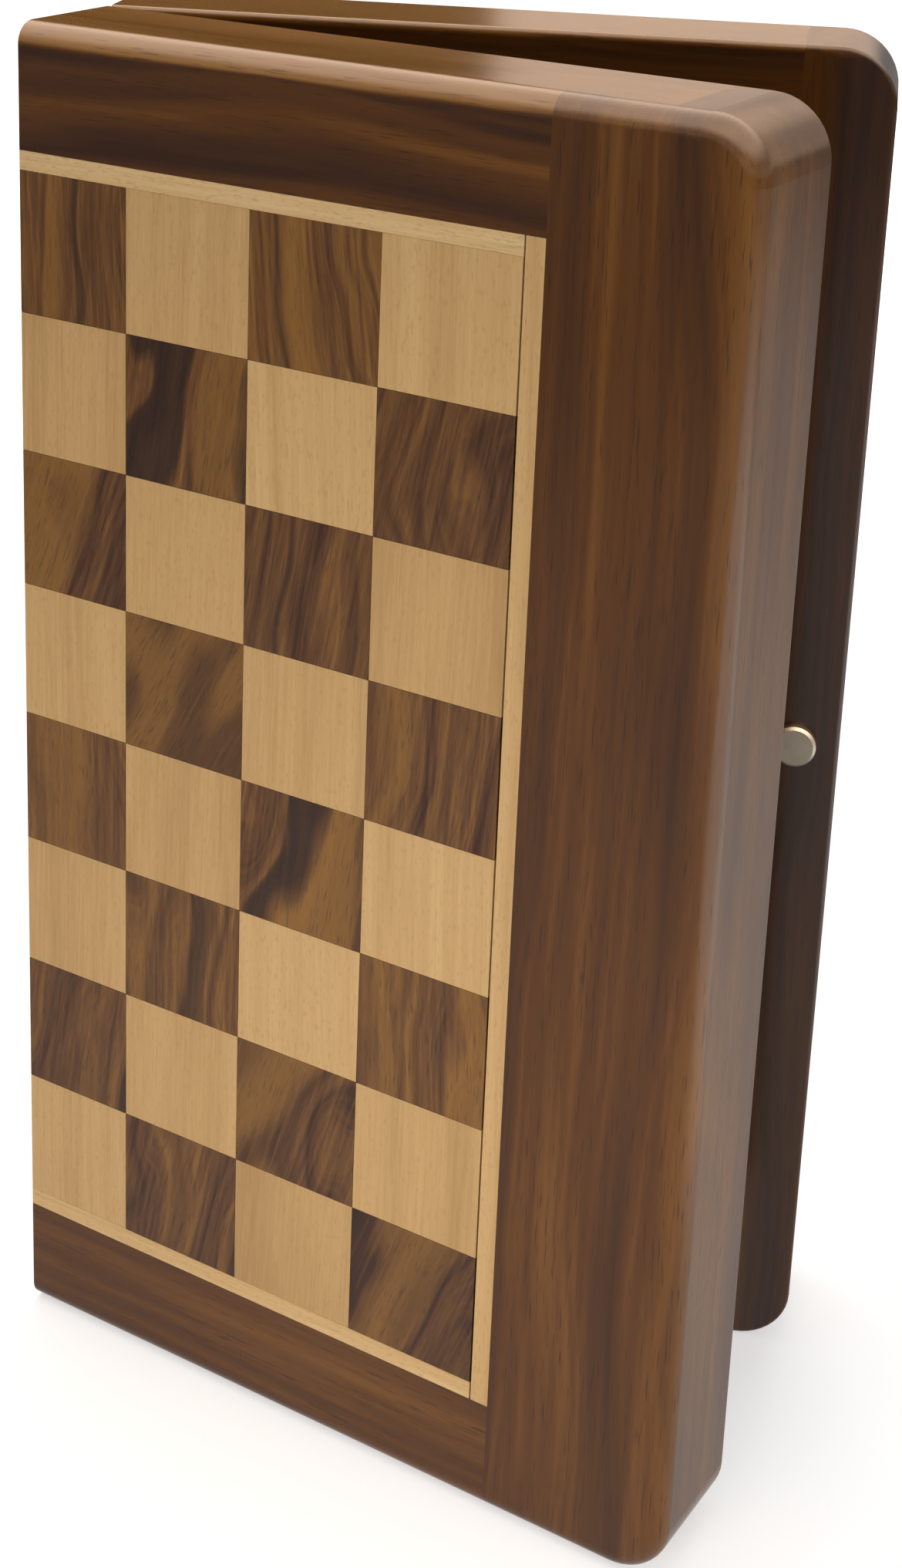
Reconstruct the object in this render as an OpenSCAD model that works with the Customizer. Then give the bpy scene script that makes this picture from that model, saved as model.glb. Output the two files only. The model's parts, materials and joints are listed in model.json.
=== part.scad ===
// Folding magnetic travel chess set. Two wooden trays, each with half of the board on its
// outside, fold about an upright edge. The set stands on its short end, slightly open.
// One half is drawn in its own frame: u runs from the fold side to the outer side, v from the
// playing face to the rim, and z up. The modules in_front and in_rear put it in place.

/* [Position] */
// Angle between the two halves, 0 when shut
open_angle = 21; // [0:1:159]
// Distance of each rim and each fold side from the hinge axis
half_gap = 0.15; // [0.1:0.05:0.3]

/* [Board] */
// Side of one chess square
square_size = 25.4; // [24:0.1:32]
// Wood sawn off the squares beside the fold
fold_trim = 2.3; // [0:0.1:4]
// Thickness of the wooden squares and strips
square_t = 3; // [2:0.1:4]
// Width of the maple strips
strip_w = 3.4; // [2:0.1:6]
// Dark glue seam along the upright maple strip
seam_w = 0.3; // [0.1:0.05:0.6]
// Saw gap between neighbouring squares
glue_line = 0.08; // [0.04:0.01:0.2]
// Thickness of the steel sheet under the squares
steel_t = 0.6; // [0.4:0.1:1]
// Distance of the steel sheet from the fold side
steel_inset = 2; // [1:0.5:4]
// Fitting gap round the steel sheet and the base panel
panel_clear = 0.1; // [0.05:0.05:0.3]

/* [Frame] */
// Depth of a tray from its floor to its rim
tray_depth = 18.65; // [18.3:0.05:28]
// Thickness of the plywood base panel
panel_t = 3; // [2:0.1:5]
// Width of the top and bottom rails on the playing face
rail_face_w = 22; // [17:0.5:30]
// Width of the outer stile on the playing face
stile_face_w = 34.4; // [24:0.2:44]
// Thickness of the rails' walls
rail_wall = 14; // [11:0.5:16]
// Thickness of the outer stile's wall
stile_wall = 16; // [13:0.5:22]
// Thickness of the wall on the fold side
fold_wall = 12; // [11:0.5:16]
// Radius of the eased edge round the playing face
edge_round = 3.8; // [1:0.1:5]
// Radius of the two outer corners
corner_r = 10; // [6:0.5:12]
// Radius of the eased edge round the rim
rim_ease = 0.8; // [0.3:0.1:1.5]

/* [Hinges] */
// Length of one hinge
hinge_len = 25; // [20:1:40]
// Height of a hinge's middle above the nearer end of the box
hinge_inset = 45; // [38:1:80]
// Reach of a leaf from the hinge axis
leaf_w = 9.5; // [8.5:0.1:10.5]
// Thickness of a leaf
leaf_t = 1; // [0.8:0.1:1.4]
// Radius of the barrel
barrel_r = 1.9; // [1.7:0.05:2.2]
// Radius of the hinge pin
pin_r = 0.8; // [0.6:0.05:1]
// Running clearance between a pin and its knuckles
pin_clear = 0.04; // [0.02:0.01:0.08]
// Gap between two knuckles along the pin
knuckle_gap = 0.2; // [0.1:0.05:0.4]
// Radius of a hinge screw's shank
screw_r = 0.8; // [0.6:0.05:1]
// Radius of a hinge screw's head
screw_head_r = 1.7; // [1.5:0.05:1.9]
// Distance of a hinge screw from the end of its leaf
screw_inset = 4.5; // [3.5:0.5:7]
// Length of a hinge screw
screw_len = 9; // [6:0.5:12]

/* [Closure] */
// Radius of the closing stud
stud_r = 3.9; // [2.5:0.1:4.5]
// How far the stud stands out of the rim
stud_proud = 2; // [1:0.1:3]
// How deep the stud is set in the stile
stud_embed = 6; // [4:0.5:12]
// Gap between the stud and its recess
recess_clear = 0.25; // [0.15:0.05:0.5]
// Thickness of the closing magnet
closing_magnet_t = 5; // [3:0.5:8]

/* [Foam] */
// Gap between a foam insert and the walls
foam_clear = 0.3; // [0.1:0.1:1]
// Depth of the foam's top below the rim
foam_recess = 1.15; // [1:0.05:3]
// Foam left under a slot
foam_floor = 1.6; // [1:0.1:1.7]
// Gap between a chessman and its slot
slot_clear = 0.5; // [0.3:0.1:0.8]
// Foam left between the slots and the two long walls
foam_margin = 6; // [3:0.5:8]

/* [Chessmen] */
// Height of a king with its felt
king_h = 46; // [40:1:50]
// Height of a queen with its felt
queen_h = 42; // [36:1:46]
// Height of a bishop with its felt
bishop_h = 36; // [32:1:42]
// Height of a knight with its felt
knight_h = 33; // [30:1:38]
// Height of a rook with its felt
rook_h = 29; // [26:1:34]
// Height of a pawn with its felt
pawn_h = 26; // [23:1:30]
// Base diameter of a king and a queen
royal_base_d = 15.6; // [14:0.1:16]
// Base diameter of a bishop, a knight and a rook
officer_base_d = 15; // [13.6:0.1:16]
// Base diameter of a pawn
pawn_base_d = 13.6; // [12:0.1:15]
// Thickness of the felt under a chessman
felt_t = 0.6; // [0.4:0.1:1]
// Diameter of the magnet in a chessman's base
magnet_d = 8; // [5:0.5:9]
// Thickness of the magnet in a chessman's base
magnet_t = 2; // [1:0.1:2.4]

/* [Hidden] */
$fn = 48;
files = 4;
ranks = 8;
fit_clear = 0.03;
stud_ease = 0.5;
felt_margin = 0.6;
relief_clear = 0.2;
flange_t = square_t + steel_t;
floor_v = flange_t + panel_t;
half_t = floor_v + tray_depth;
field_w = files * square_size - fold_trim;
half_w = field_w + seam_w + strip_w + stile_face_w;
field_z = rail_face_w + strip_w;
board_h = ranks * square_size + 2 * field_z;
stile_u = half_w - stile_face_w;
strip_u = stile_u - strip_w;
tray_u = half_w - stile_wall;
tray_h = board_h - 2 * rail_wall;
hinge_x = -half_w / 2 - half_gap;
hinge_y = half_t / 2 + half_gap;
hinge_heights = [hinge_inset, board_h - hinge_inset];
screw_offsets = [screw_inset - hinge_len / 2, hinge_len / 2 - screw_inset];
screw_reach = (leaf_w + barrel_r) / 2 + 0.3;
knuckle_len = (hinge_len - 2 * knuckle_gap) / 3;
stud_u = half_w - stile_wall / 2;
recess_r = stud_r + recess_clear;
slot_pitch = (tray_h - 2 * foam_clear) / ranks;
foam_t = tray_depth - foam_recess;
slot_v = floor_v + foam_floor;
over = 1;

rosewood = [0.42, 0.27, 0.16];
maple = [0.75, 0.61, 0.42];
boxwood = [0.85, 0.73, 0.5];
plywood = [0.72, 0.58, 0.4];
steel = [0.62, 0.63, 0.65];
nickel = [0.78, 0.74, 0.66];
brass = [0.76, 0.6, 0.3];
foam = [0.14, 0.14, 0.15];
felt = [0.12, 0.3, 0.18];

// One row of the tray from the bottom up: the man beside each pawn
back_rank = ["rook", "knight", "bishop", "queen", "king", "bishop", "knight", "rook"];

// A box given by its low and high corners
module block(low, high) {
    translate(low) cube(high - low);
}

// Puts a half, drawn in its own frame, where the near half stands
module in_front() {
    translate([hinge_x + half_gap, hinge_y - half_gap - half_t, 0]) children();
}

// Puts a half, drawn in its own frame, where the far half stands open
module in_rear() {
    translate([hinge_x, hinge_y, 0])
        rotate([0, 0, open_angle])
            mirror([0, 1, 0])
                translate([half_gap, -half_gap - half_t, 0]) children();
}

// Section of the edge of a half: radius out to r, playing face at 0, rim at half_t
module edge_section(r) {
    square([r - edge_round, half_t]);
    translate([0, edge_round]) square([r, half_t - edge_round - rim_ease]);
    translate([0, edge_round]) square([r - rim_ease, half_t - edge_round]);
    translate([r - edge_round, edge_round]) circle(edge_round);
    translate([r - rim_ease, half_t - rim_ease]) circle(rim_ease);
}

// The part of an edge section on the side of positive radius
module half_section(r) {
    intersection() {
        edge_section(r);
        square([r, half_t]);
    }
}

// A round corner post, which carries the eased edges round an outer corner
module corner_post(z) {
    translate([half_w - corner_r, 0, z])
        rotate([-90, 0, 0]) rotate_extrude() half_section(corner_r);
}

// The low end of a half, run along u from the fold side to the corner post
module end_run() {
    translate([0, 0, corner_r])
        rotate([0, 90, 0]) linear_extrude(half_w - corner_r) half_section(corner_r);
}

// The outside of one half, with its outer corners and its eased edges
module outside() {
    span = board_h - 2 * corner_r;
    translate([0, 0, corner_r]) linear_extrude(span) half_section(half_w);
    end_run();
    translate([0, 0, board_h]) mirror([0, 0, 1]) end_run();
    corner_post(corner_r);
    corner_post(board_h - corner_r);
}

// The outer stile: full height, wide on the playing face, narrower behind it
module outer_stile() {
    intersection() {
        outside();
        union() {
            block([stile_u, -over, -over], [half_w + over, flange_t, board_h + over]);
            block([tray_u, -over, -over], [half_w + over, half_t + over, board_h + over]);
        }
    }
}

// A rail at the low end, between the fold side and the stile
module low_rail() {
    intersection() {
        outside();
        union() {
            block([0, -over, -over], [stile_u, flange_t, rail_face_w]);
            block([0, flange_t, -over], [tray_u, half_t + over, rail_wall]);
        }
    }
}

module bottom_rail() {
    low_rail();
}

module top_rail() {
    translate([0, 0, board_h]) mirror([0, 0, 1]) low_rail();
}

// Straight cut for a leaf and its screws in the fold wall, in the wall's own frame
module hinge_cuts() {
    for (z = hinge_heights) {
        // barrel
        translate([-half_gap, half_t + half_gap, z - hinge_len / 2 - relief_clear])
            cylinder(r = barrel_r + relief_clear, h = hinge_len + 2 * relief_clear);
        // leaf
        block(
            [-over, half_t - leaf_t, z - hinge_len / 2 - relief_clear],
            [leaf_w - half_gap + relief_clear, half_t + over, z + hinge_len / 2 + relief_clear]
        );
        // pilot holes
        for (dz = screw_offsets)
            translate([screw_reach - half_gap, half_t, z + dz]) screw_shape(fit_clear);
    }
}

// The wall on the fold side, between the rails, with a lip in front of the steel sheet
module fold_side_wall() {
    difference() {
        union() {
            block([0, flange_t, rail_wall], [fold_wall, half_t, board_h - rail_wall]);
            block([0, square_t, rail_face_w], [steel_inset, half_t, board_h - rail_face_w]);
        }
        hinge_cuts();
    }
}

module base_panel() {
    block(
        [fold_wall + panel_clear, flange_t, rail_wall + panel_clear],
        [tray_u - panel_clear, floor_v, board_h - rail_wall - panel_clear]
    );
}

module steel_sheet() {
    block(
        [steel_inset + panel_clear, square_t, rail_face_w + panel_clear],
        [stile_u - panel_clear, flange_t, board_h - rail_face_w - panel_clear]
    );
}

// The squares of one colour: those whose file and rank add up to odd or to even
module squares(odd) {
    for (file = [0 : files - 1])
        for (rank = [0 : ranks - 1])
            if ((file + rank) % 2 == odd) {
                low_u = file == 0 ? 0 : file * square_size - fold_trim + glue_line / 2;
                high_u = (file + 1) * square_size - fold_trim - glue_line / 2;
                low_z = field_z + rank * square_size + glue_line / 2;
                block(
                    [low_u, 0, low_z],
                    [high_u, square_t, low_z + square_size - glue_line]
                );
            }
}

module side_strip() {
    block([strip_u, 0, rail_face_w], [stile_u, square_t, board_h - rail_face_w]);
}

module bottom_strip() {
    block([0, 0, rail_face_w], [field_w, square_t, field_z]);
}

module top_strip() {
    translate([0, 0, board_h]) mirror([0, 0, 1]) bottom_strip();
}

// A recess from the rim into the stile's wall, for the magnet or the stud
module stile_bore(r, depth) {
    translate([stud_u, half_t + over, board_h / 2])
        rotate([90, 0, 0]) cylinder(r = r, h = depth + over);
}

// A leaf in the hinge axis frame: z is 0 at its middle. ends is true for the leaf with the
// two outer knuckles, and false for the leaf with the middle one
module leaf(ends) {
    step = knuckle_len + knuckle_gap;
    difference() {
        union() {
            block([0, -half_gap - leaf_t, -hinge_len / 2], [leaf_w, -half_gap, hinge_len / 2]);
            for (k = ends ? [-1, 1] : [0])
                translate([0, 0, k * step - knuckle_len / 2])
                    cylinder(r = barrel_r, h = knuckle_len);
        }
        // room for the other leaf's knuckles
        for (k = ends ? [0] : [-1, 1])
            block(
                [-over, -half_gap - leaf_t - over, k * step - knuckle_len / 2 - knuckle_gap],
                [barrel_r + relief_clear, over, k * step + knuckle_len / 2 + knuckle_gap]
            );
        translate([0, 0, -hinge_len]) cylinder(r = pin_r + pin_clear, h = 2 * hinge_len);
        for (dz = screw_offsets)
            translate([screw_reach, -half_gap, dz]) screw_shape(fit_clear);
    }
}

// A countersunk screw with its head flush at y 0 and its point towards -y; grow widens it
// into the shape of its hole
module screw_shape(grow) {
    cone_h = screw_head_r - screw_r;
    rotate([90, 0, 0]) {
        cylinder(r1 = screw_head_r + grow, r2 = screw_r + grow, h = cone_h);
        cylinder(r = screw_r + grow, h = screw_len - screw_r);
        translate([0, 0, screw_len - screw_r])
            cylinder(r1 = screw_r + grow, r2 = 0.1, h = screw_r);
    }
}

module screw() {
    slot_w = screw_head_r * 0.25;
    difference() {
        screw_shape(0);
        cube([4 * screw_head_r, slot_w * 2, slot_w], center = true);
    }
}

module screws_of_half() {
    for (z = hinge_heights)
        for (dz = screw_offsets)
            translate([screw_reach, -half_gap, z + dz]) screw();
}

module front_axis() {
    translate([hinge_x, hinge_y, 0]) children();
}

module rear_axis() {
    translate([hinge_x, hinge_y, 0])
        rotate([0, 0, open_angle]) mirror([0, 1, 0]) children();
}

module hinge_pin() {
    translate([0, 0, -hinge_len / 2]) cylinder(r = pin_r, h = hinge_len);
}

// Points of an arc, in degrees, with n steps
function arc(c, r, from, to, n = 8) = [
    for (i = [0 : n]) let (a = from + (to - from) * i / n)
        [c[0] + r * cos(a), c[1] + r * sin(a)]
];

// Points of a hollow curve from a wide foot to a narrow neck
function waist(low, high, n = 8) = [
    for (i = [0 : n]) let (t = i / n)
        [high[0] + (low[0] - high[0]) * pow(1 - t, 2.4), low[1] + (high[1] - low[1]) * t]
];

// The turned foot of a man: a round bead and a step, fh high
function foot(r, fh) = concat(
    [[0, felt_t], [r - fh * 0.2, felt_t]],
    arc([r - fh * 0.23, felt_t + fh * 0.23], fh * 0.23, -60, 90, 6),
    [[r * 0.82, felt_t + fh * 0.5], [r * 0.82, felt_t + fh * 0.66], [r * 0.7, felt_t + fh]]
);

// A turned ring at height z
function ring(r, z, t) = arc([r - t / 2, z], t / 2, -90, 90, 6);

// Diameter across the widest part of a man above its foot
function body_d(kind) = kind == "knight" ? officer_base_d : base_d(kind) * 0.8;
function base_d(kind) =
    kind == "king" || kind == "queen" ? royal_base_d :
    kind == "pawn" ? pawn_base_d : officer_base_d;
function height(kind) =
    kind == "king" ? king_h :
    kind == "queen" ? queen_h :
    kind == "bishop" ? bishop_h :
    kind == "knight" ? knight_h :
    kind == "rook" ? rook_h : pawn_h;
function foot_h(kind) = height(kind) * 0.17;

// Lower part of a man's outline, up to the neck at height neck_z
function lower_outline(kind, neck_r, neck_z) =
    let (r = base_d(kind) / 2, fh = foot_h(kind))
    concat(foot(r, fh), waist([r * 0.7, felt_t + fh], [neck_r, neck_z]));

// A turned man with room for the magnet in its base
module turned(kind, neck_r, neck_z, upper) {
    outline = concat(lower_outline(kind, neck_r, neck_z), upper);
    difference() {
        rotate_extrude() polygon(outline);
        magnet_seat();
    }
}

module magnet_seat() {
    translate([0, 0, felt_t - over])
        cylinder(d = magnet_d + 2 * fit_clear, h = magnet_t + over + fit_clear);
}

module pawn() {
    h = pawn_h;
    head_r = pawn_base_d * 0.27;
    neck_r = head_r * 0.5;
    turned("pawn", neck_r, h * 0.58, concat(
        ring(pawn_base_d * 0.29, h * 0.62, h * 0.05),
        [[neck_r, h * 0.65]],
        arc([0, h - head_r], head_r, -60, 90, 12)
    ));
}

module rook() {
    h = rook_h;
    r = officer_base_d * 0.36;
    well_r = r * 0.66;
    difference() {
        turned("rook", r * 0.74, h * 0.6, concat(
            ring(r * 1.02, h * 0.63, h * 0.05),
            [[r * 0.76, h * 0.66], [r, h * 0.74], [r, h], [well_r, h], [well_r, h * 0.89]],
            [[0, h * 0.89]]
        ));
        // battlements
        for (a = [0, 60, 120])
            rotate(a)
                translate([0, 0, h]) cube([4 * r, r * 0.32, h * 0.14], center = true);
    }
}

module bishop() {
    h = bishop_h;
    r = officer_base_d * 0.26;
    tip_r = r * 0.34;
    difference() {
        turned("bishop", r * 0.5, h * 0.56, concat(
            ring(r * 1.1, h * 0.59, h * 0.04),
            ring(r * 0.85, h * 0.63, h * 0.03),
            [[r * 0.55, h * 0.655]],
            // mitre
            [for (i = [0 : 10]) let (t = i / 10)
                [r * (0.55 * (1 - t) + 0.2 * t + 0.62 * sin(180 * pow(t, 0.8))),
                 h * (0.66 + 0.27 * t)]],
            arc([0, h - tip_r], tip_r, -45, 90, 6)
        ));
        // slanting cut in the mitre
        translate([r * 0.6, 0, h * 0.84])
            rotate([0, -35, 0]) cube([r * 1.4, 4 * r, h * 0.028], center = true);
    }
}

module queen() {
    h = queen_h;
    r = royal_base_d * 0.31;
    ball_r = r * 0.32;
    difference() {
        turned("queen", r * 0.5, h * 0.57, concat(
            ring(r * 1.06, h * 0.6, h * 0.035),
            ring(r * 0.86, h * 0.635, h * 0.025),
            waist([r * 0.55, h * 0.65], [r * 0.55, h * 0.7], 1),
            [for (i = [1 : 8]) let (t = i / 8)
                [r * (0.55 + 0.45 * pow(t, 1.8)), h * (0.7 + 0.19 * t)]],
            [[r * 0.86, h * 0.915], [r * 0.6, h * 0.905], [ball_r * 0.6, h - 1.7 * ball_r]],
            arc([0, h - ball_r], ball_r, -45, 90, 6)
        ));
        // coronet
        for (a = [0 : 45 : 315])
            rotate(a)
                translate([r * 0.95, 0, h * 0.925])
                    rotate([0, 90, 0]) cylinder(r = r * 0.2, h = r, center = true);
    }
}

module king() {
    h = king_h;
    r = royal_base_d * 0.31;
    cross_h = h * 0.11;
    arm = h * 0.034;
    turned("king", r * 0.5, h * 0.56, concat(
        ring(r * 1.08, h * 0.59, h * 0.035),
        ring(r * 0.88, h * 0.625, h * 0.025),
        [[r * 0.55, h * 0.64]],
        [for (i = [1 : 8]) let (t = i / 8)
            [r * (0.55 + 0.42 * pow(t, 1.5)), h * (0.66 + 0.16 * t)]],
        [[r * 0.9, h * 0.84], [r * 0.52, h * 0.87], [r * 0.3, h * 0.885]],
        [[r * 0.3, h * 0.9], [0, h * 0.9]]
    ));
    // cross
    translate([-arm / 2, -arm / 2, h - cross_h]) cube([arm, arm, cross_h]);
    translate([-arm * 1.5, -arm / 2, h - cross_h * 0.72]) cube([3 * arm, arm, arm]);
}

// A closed smooth outline through the given points
function smooth(points, n = 3) = [
    for (i = [0 : len(points) - 1]) let (
        m = len(points),
        a = points[(i + m - 1) % m],
        b = points[i],
        c = points[(i + 1) % m],
        d = points[(i + 2) % m]
    ) for (k = [0 : n - 1]) let (t = k / n)
        0.5 * (2 * b + (c - a) * t + (2 * a - 5 * b + 4 * c - d) * t * t
            + (3 * b - a - 3 * c + d) * t * t * t)
];

// Side view of a horse's head and neck, nose towards +x, in shares of the base diameter
// along x and of the height above the foot along y
horse_outline = [
    [-0.36, 0], [0.36, 0], [0.38, 0.12], [0.16, 0.34], [0.2, 0.46], [0.36, 0.42],
    [0.47, 0.48], [0.42, 0.6], [0.25, 0.76], [0.19, 0.86], [0.13, 0.985], [0.02, 0.88],
    [-0.18, 0.84], [-0.4, 0.64], [-0.44, 0.34]
];

module knight() {
    fh = foot_h("knight");
    low = felt_t + fh;
    head = knight_h - low;
    neck_w = officer_base_d * 0.5;
    horse = [for (p = smooth(horse_outline)) [p[0] * officer_base_d, p[1] * head]];
    difference() {
        union() {
            rotate_extrude() polygon(concat(
                foot(officer_base_d / 2, fh),
                [[officer_base_d * 0.35, low + head * 0.03], [0, low + head * 0.03]]
            ));
            // head and neck, thinner towards the ears
            intersection() {
                translate([0, neck_w / 2, low])
                    rotate([90, 0, 0])
                        linear_extrude(neck_w) polygon(horse);
                rotate([90, 0, 90])
                    linear_extrude(2 * officer_base_d, center = true)
                        polygon([
                            [-neck_w / 2, low], [neck_w / 2, low],
                            [neck_w * 0.42, low + head * 0.5], [neck_w * 0.26, knight_h],
                            [-neck_w * 0.26, knight_h], [-neck_w * 0.42, low + head * 0.5]
                        ]);
            }
        }
        magnet_seat();
        // notch between the ears
        translate([0, 0, knight_h])
            cube([officer_base_d, neck_w * 0.14, head * 0.12], center = true);
    }
}

module man(kind) {
    if (kind == "king") king();
    if (kind == "queen") queen();
    if (kind == "bishop") bishop();
    if (kind == "knight") knight();
    if (kind == "rook") rook();
    if (kind == "pawn") pawn();
}

// Lays a standing man, a magnet or a felt in its slot of the tray. An officer's base is
// beside the fold wall and a pawn's is beside the outer stile
module in_slot(kind, row) {
    z = rail_wall + foam_clear + (row + 0.5) * slot_pitch;
    v = slot_v + fit_clear + base_d(kind) / 2;
    near_u = fold_wall + foam_clear + foam_margin + slot_clear;
    far_u = tray_u - foam_clear - foam_margin - slot_clear;
    if (kind == "pawn")
        translate([far_u, v, z]) rotate([0, -90, 0]) children();
    else
        translate([near_u, v, z]) rotate([0, 90, 0]) children();
}

// All the men of one kind in their slots
module men(kind) {
    if (kind == "pawn")
        for (row = [0 : ranks - 1]) in_slot(kind, row) man(kind);
    else
        for (row = [0 : ranks - 1])
            if (back_rank[row] == kind) in_slot(kind, row) man(kind);
}

module magnets() {
    for (row = [0 : ranks - 1])
        for (kind = [back_rank[row], "pawn"])
            in_slot(kind, row) translate([0, 0, felt_t]) cylinder(d = magnet_d, h = magnet_t);
}

module felts() {
    for (row = [0 : ranks - 1])
        for (kind = [back_rank[row], "pawn"])
            in_slot(kind, row) cylinder(d = base_d(kind) - 2 * felt_margin, h = felt_t);
}

// The foam taken out for one man: a wide pocket at its foot and a narrower one for its body
module slot_cut(kind) {
    r = base_d(kind) / 2 + slot_clear;
    body_r = body_d(kind) / 2 + slot_clear;
    deep = base_d(kind) / 2 + fit_clear;
    foot_len = foot_h(kind) + 3 * slot_clear;
    block([-r, -deep, -slot_clear], [r, foam_t, foot_len]);
    block([-body_r, -deep, -slot_clear], [body_r, foam_t, height(kind) + slot_clear]);
}

module foam_insert() {
    difference() {
        block(
            [fold_wall + foam_clear, floor_v, rail_wall + foam_clear],
            [tray_u - foam_clear, floor_v + foam_t, board_h - rail_wall - foam_clear]
        );
        for (row = [0 : ranks - 1])
            for (kind = [back_rank[row], "pawn"])
                in_slot(kind, row) slot_cut(kind);
    }
}

module front_outer_stile() {
    color(rosewood) in_front() difference() {
        outer_stile();
        stile_bore(recess_r, stud_proud + closing_magnet_t);
    }
}

module rear_outer_stile() {
    color(rosewood) in_rear() difference() {
        outer_stile();
        stile_bore(stud_r + fit_clear, stud_embed);
    }
}

module closing_magnet() {
    color(steel) in_front()
        translate([stud_u, half_t - stud_proud, board_h / 2])
            rotate([90, 0, 0]) cylinder(r = recess_r - fit_clear, h = closing_magnet_t);
}

module closing_stud() {
    color(nickel) in_rear()
        translate([stud_u, half_t - stud_embed, board_h / 2])
            rotate([-90, 0, 0]) {
                long = stud_embed + stud_proud;
                cylinder(r = stud_r, h = long - stud_ease);
                translate([0, 0, long - stud_ease])
                    cylinder(r1 = stud_r, r2 = stud_r - stud_ease, h = stud_ease);
            }
}

module front_top_rail() { color(rosewood) in_front() top_rail(); }
module front_bottom_rail() { color(rosewood) in_front() bottom_rail(); }
module front_fold_wall() { color(rosewood) in_front() fold_side_wall(); }
module front_base_panel() { color(plywood) in_front() base_panel(); }
module front_steel_sheet() { color(steel) in_front() steel_sheet(); }
module front_dark_squares() { color(rosewood) in_front() squares(1); }
module front_light_squares() { color(maple) in_front() squares(0); }
module front_side_strip() { color(maple) in_front() side_strip(); }
module front_top_strip() { color(maple) in_front() top_strip(); }
module front_bottom_strip() { color(maple) in_front() bottom_strip(); }
module front_foam_insert() { color(foam) in_front() foam_insert(); }

module rear_top_rail() { color(rosewood) in_rear() top_rail(); }
module rear_bottom_rail() { color(rosewood) in_rear() bottom_rail(); }
module rear_fold_wall() { color(rosewood) in_rear() fold_side_wall(); }
module rear_base_panel() { color(plywood) in_rear() base_panel(); }
module rear_steel_sheet() { color(steel) in_rear() steel_sheet(); }
module rear_dark_squares() { color(rosewood) in_rear() squares(0); }
module rear_light_squares() { color(maple) in_rear() squares(1); }
module rear_side_strip() { color(maple) in_rear() side_strip(); }
module rear_top_strip() { color(maple) in_rear() top_strip(); }
module rear_bottom_strip() { color(maple) in_rear() bottom_strip(); }
module rear_foam_insert() { color(foam) in_rear() foam_insert(); }

module at_hinge(k) { translate([0, 0, hinge_heights[k]]) children(); }
module lower_hinge_front_leaf() { color(brass) front_axis() at_hinge(0) leaf(true); }
module upper_hinge_front_leaf() { color(brass) front_axis() at_hinge(1) leaf(true); }
module lower_hinge_rear_leaf() { color(brass) rear_axis() at_hinge(0) leaf(false); }
module upper_hinge_rear_leaf() { color(brass) rear_axis() at_hinge(1) leaf(false); }
module lower_hinge_pin() { color(brass) front_axis() at_hinge(0) hinge_pin(); }
module upper_hinge_pin() { color(brass) front_axis() at_hinge(1) hinge_pin(); }
module front_hinge_screws() { color(brass) front_axis() screws_of_half(); }
module rear_hinge_screws() { color(brass) rear_axis() screws_of_half(); }

module light_king() { color(boxwood) in_front() men("king"); }
module light_queen() { color(boxwood) in_front() men("queen"); }
module light_bishops() { color(boxwood) in_front() men("bishop"); }
module light_knights() { color(boxwood) in_front() men("knight"); }
module light_rooks() { color(boxwood) in_front() men("rook"); }
module light_pawns() { color(boxwood) in_front() men("pawn"); }
module light_magnets() { color(steel) in_front() magnets(); }
module light_felts() { color(felt) in_front() felts(); }

module dark_king() { color(rosewood) in_rear() men("king"); }
module dark_queen() { color(rosewood) in_rear() men("queen"); }
module dark_bishops() { color(rosewood) in_rear() men("bishop"); }
module dark_knights() { color(rosewood) in_rear() men("knight"); }
module dark_rooks() { color(rosewood) in_rear() men("rook"); }
module dark_pawns() { color(rosewood) in_rear() men("pawn"); }
module dark_magnets() { color(steel) in_rear() magnets(); }
module dark_felts() { color(felt) in_rear() felts(); }

front_outer_stile();
front_top_rail();
front_bottom_rail();
front_fold_wall();
front_base_panel();
front_steel_sheet();
front_dark_squares();
front_light_squares();
front_side_strip();
front_top_strip();
front_bottom_strip();
front_foam_insert();
closing_magnet();
rear_outer_stile();
rear_top_rail();
rear_bottom_rail();
rear_fold_wall();
rear_base_panel();
rear_steel_sheet();
rear_dark_squares();
rear_light_squares();
rear_side_strip();
rear_top_strip();
rear_bottom_strip();
rear_foam_insert();
closing_stud();
upper_hinge_front_leaf();
lower_hinge_front_leaf();
upper_hinge_rear_leaf();
lower_hinge_rear_leaf();
upper_hinge_pin();
lower_hinge_pin();
front_hinge_screws();
rear_hinge_screws();
light_king();
light_queen();
light_bishops();
light_knights();
light_rooks();
light_pawns();
light_magnets();
light_felts();
dark_king();
dark_queen();
dark_bishops();
dark_knights();
dark_rooks();
dark_pawns();
dark_magnets();
dark_felts();
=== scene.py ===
"""Looks of a folding magnetic travel chess set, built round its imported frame."""
import json
import math
import random

import bmesh
import bpy
from mathutils import Matrix, Vector

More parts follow.
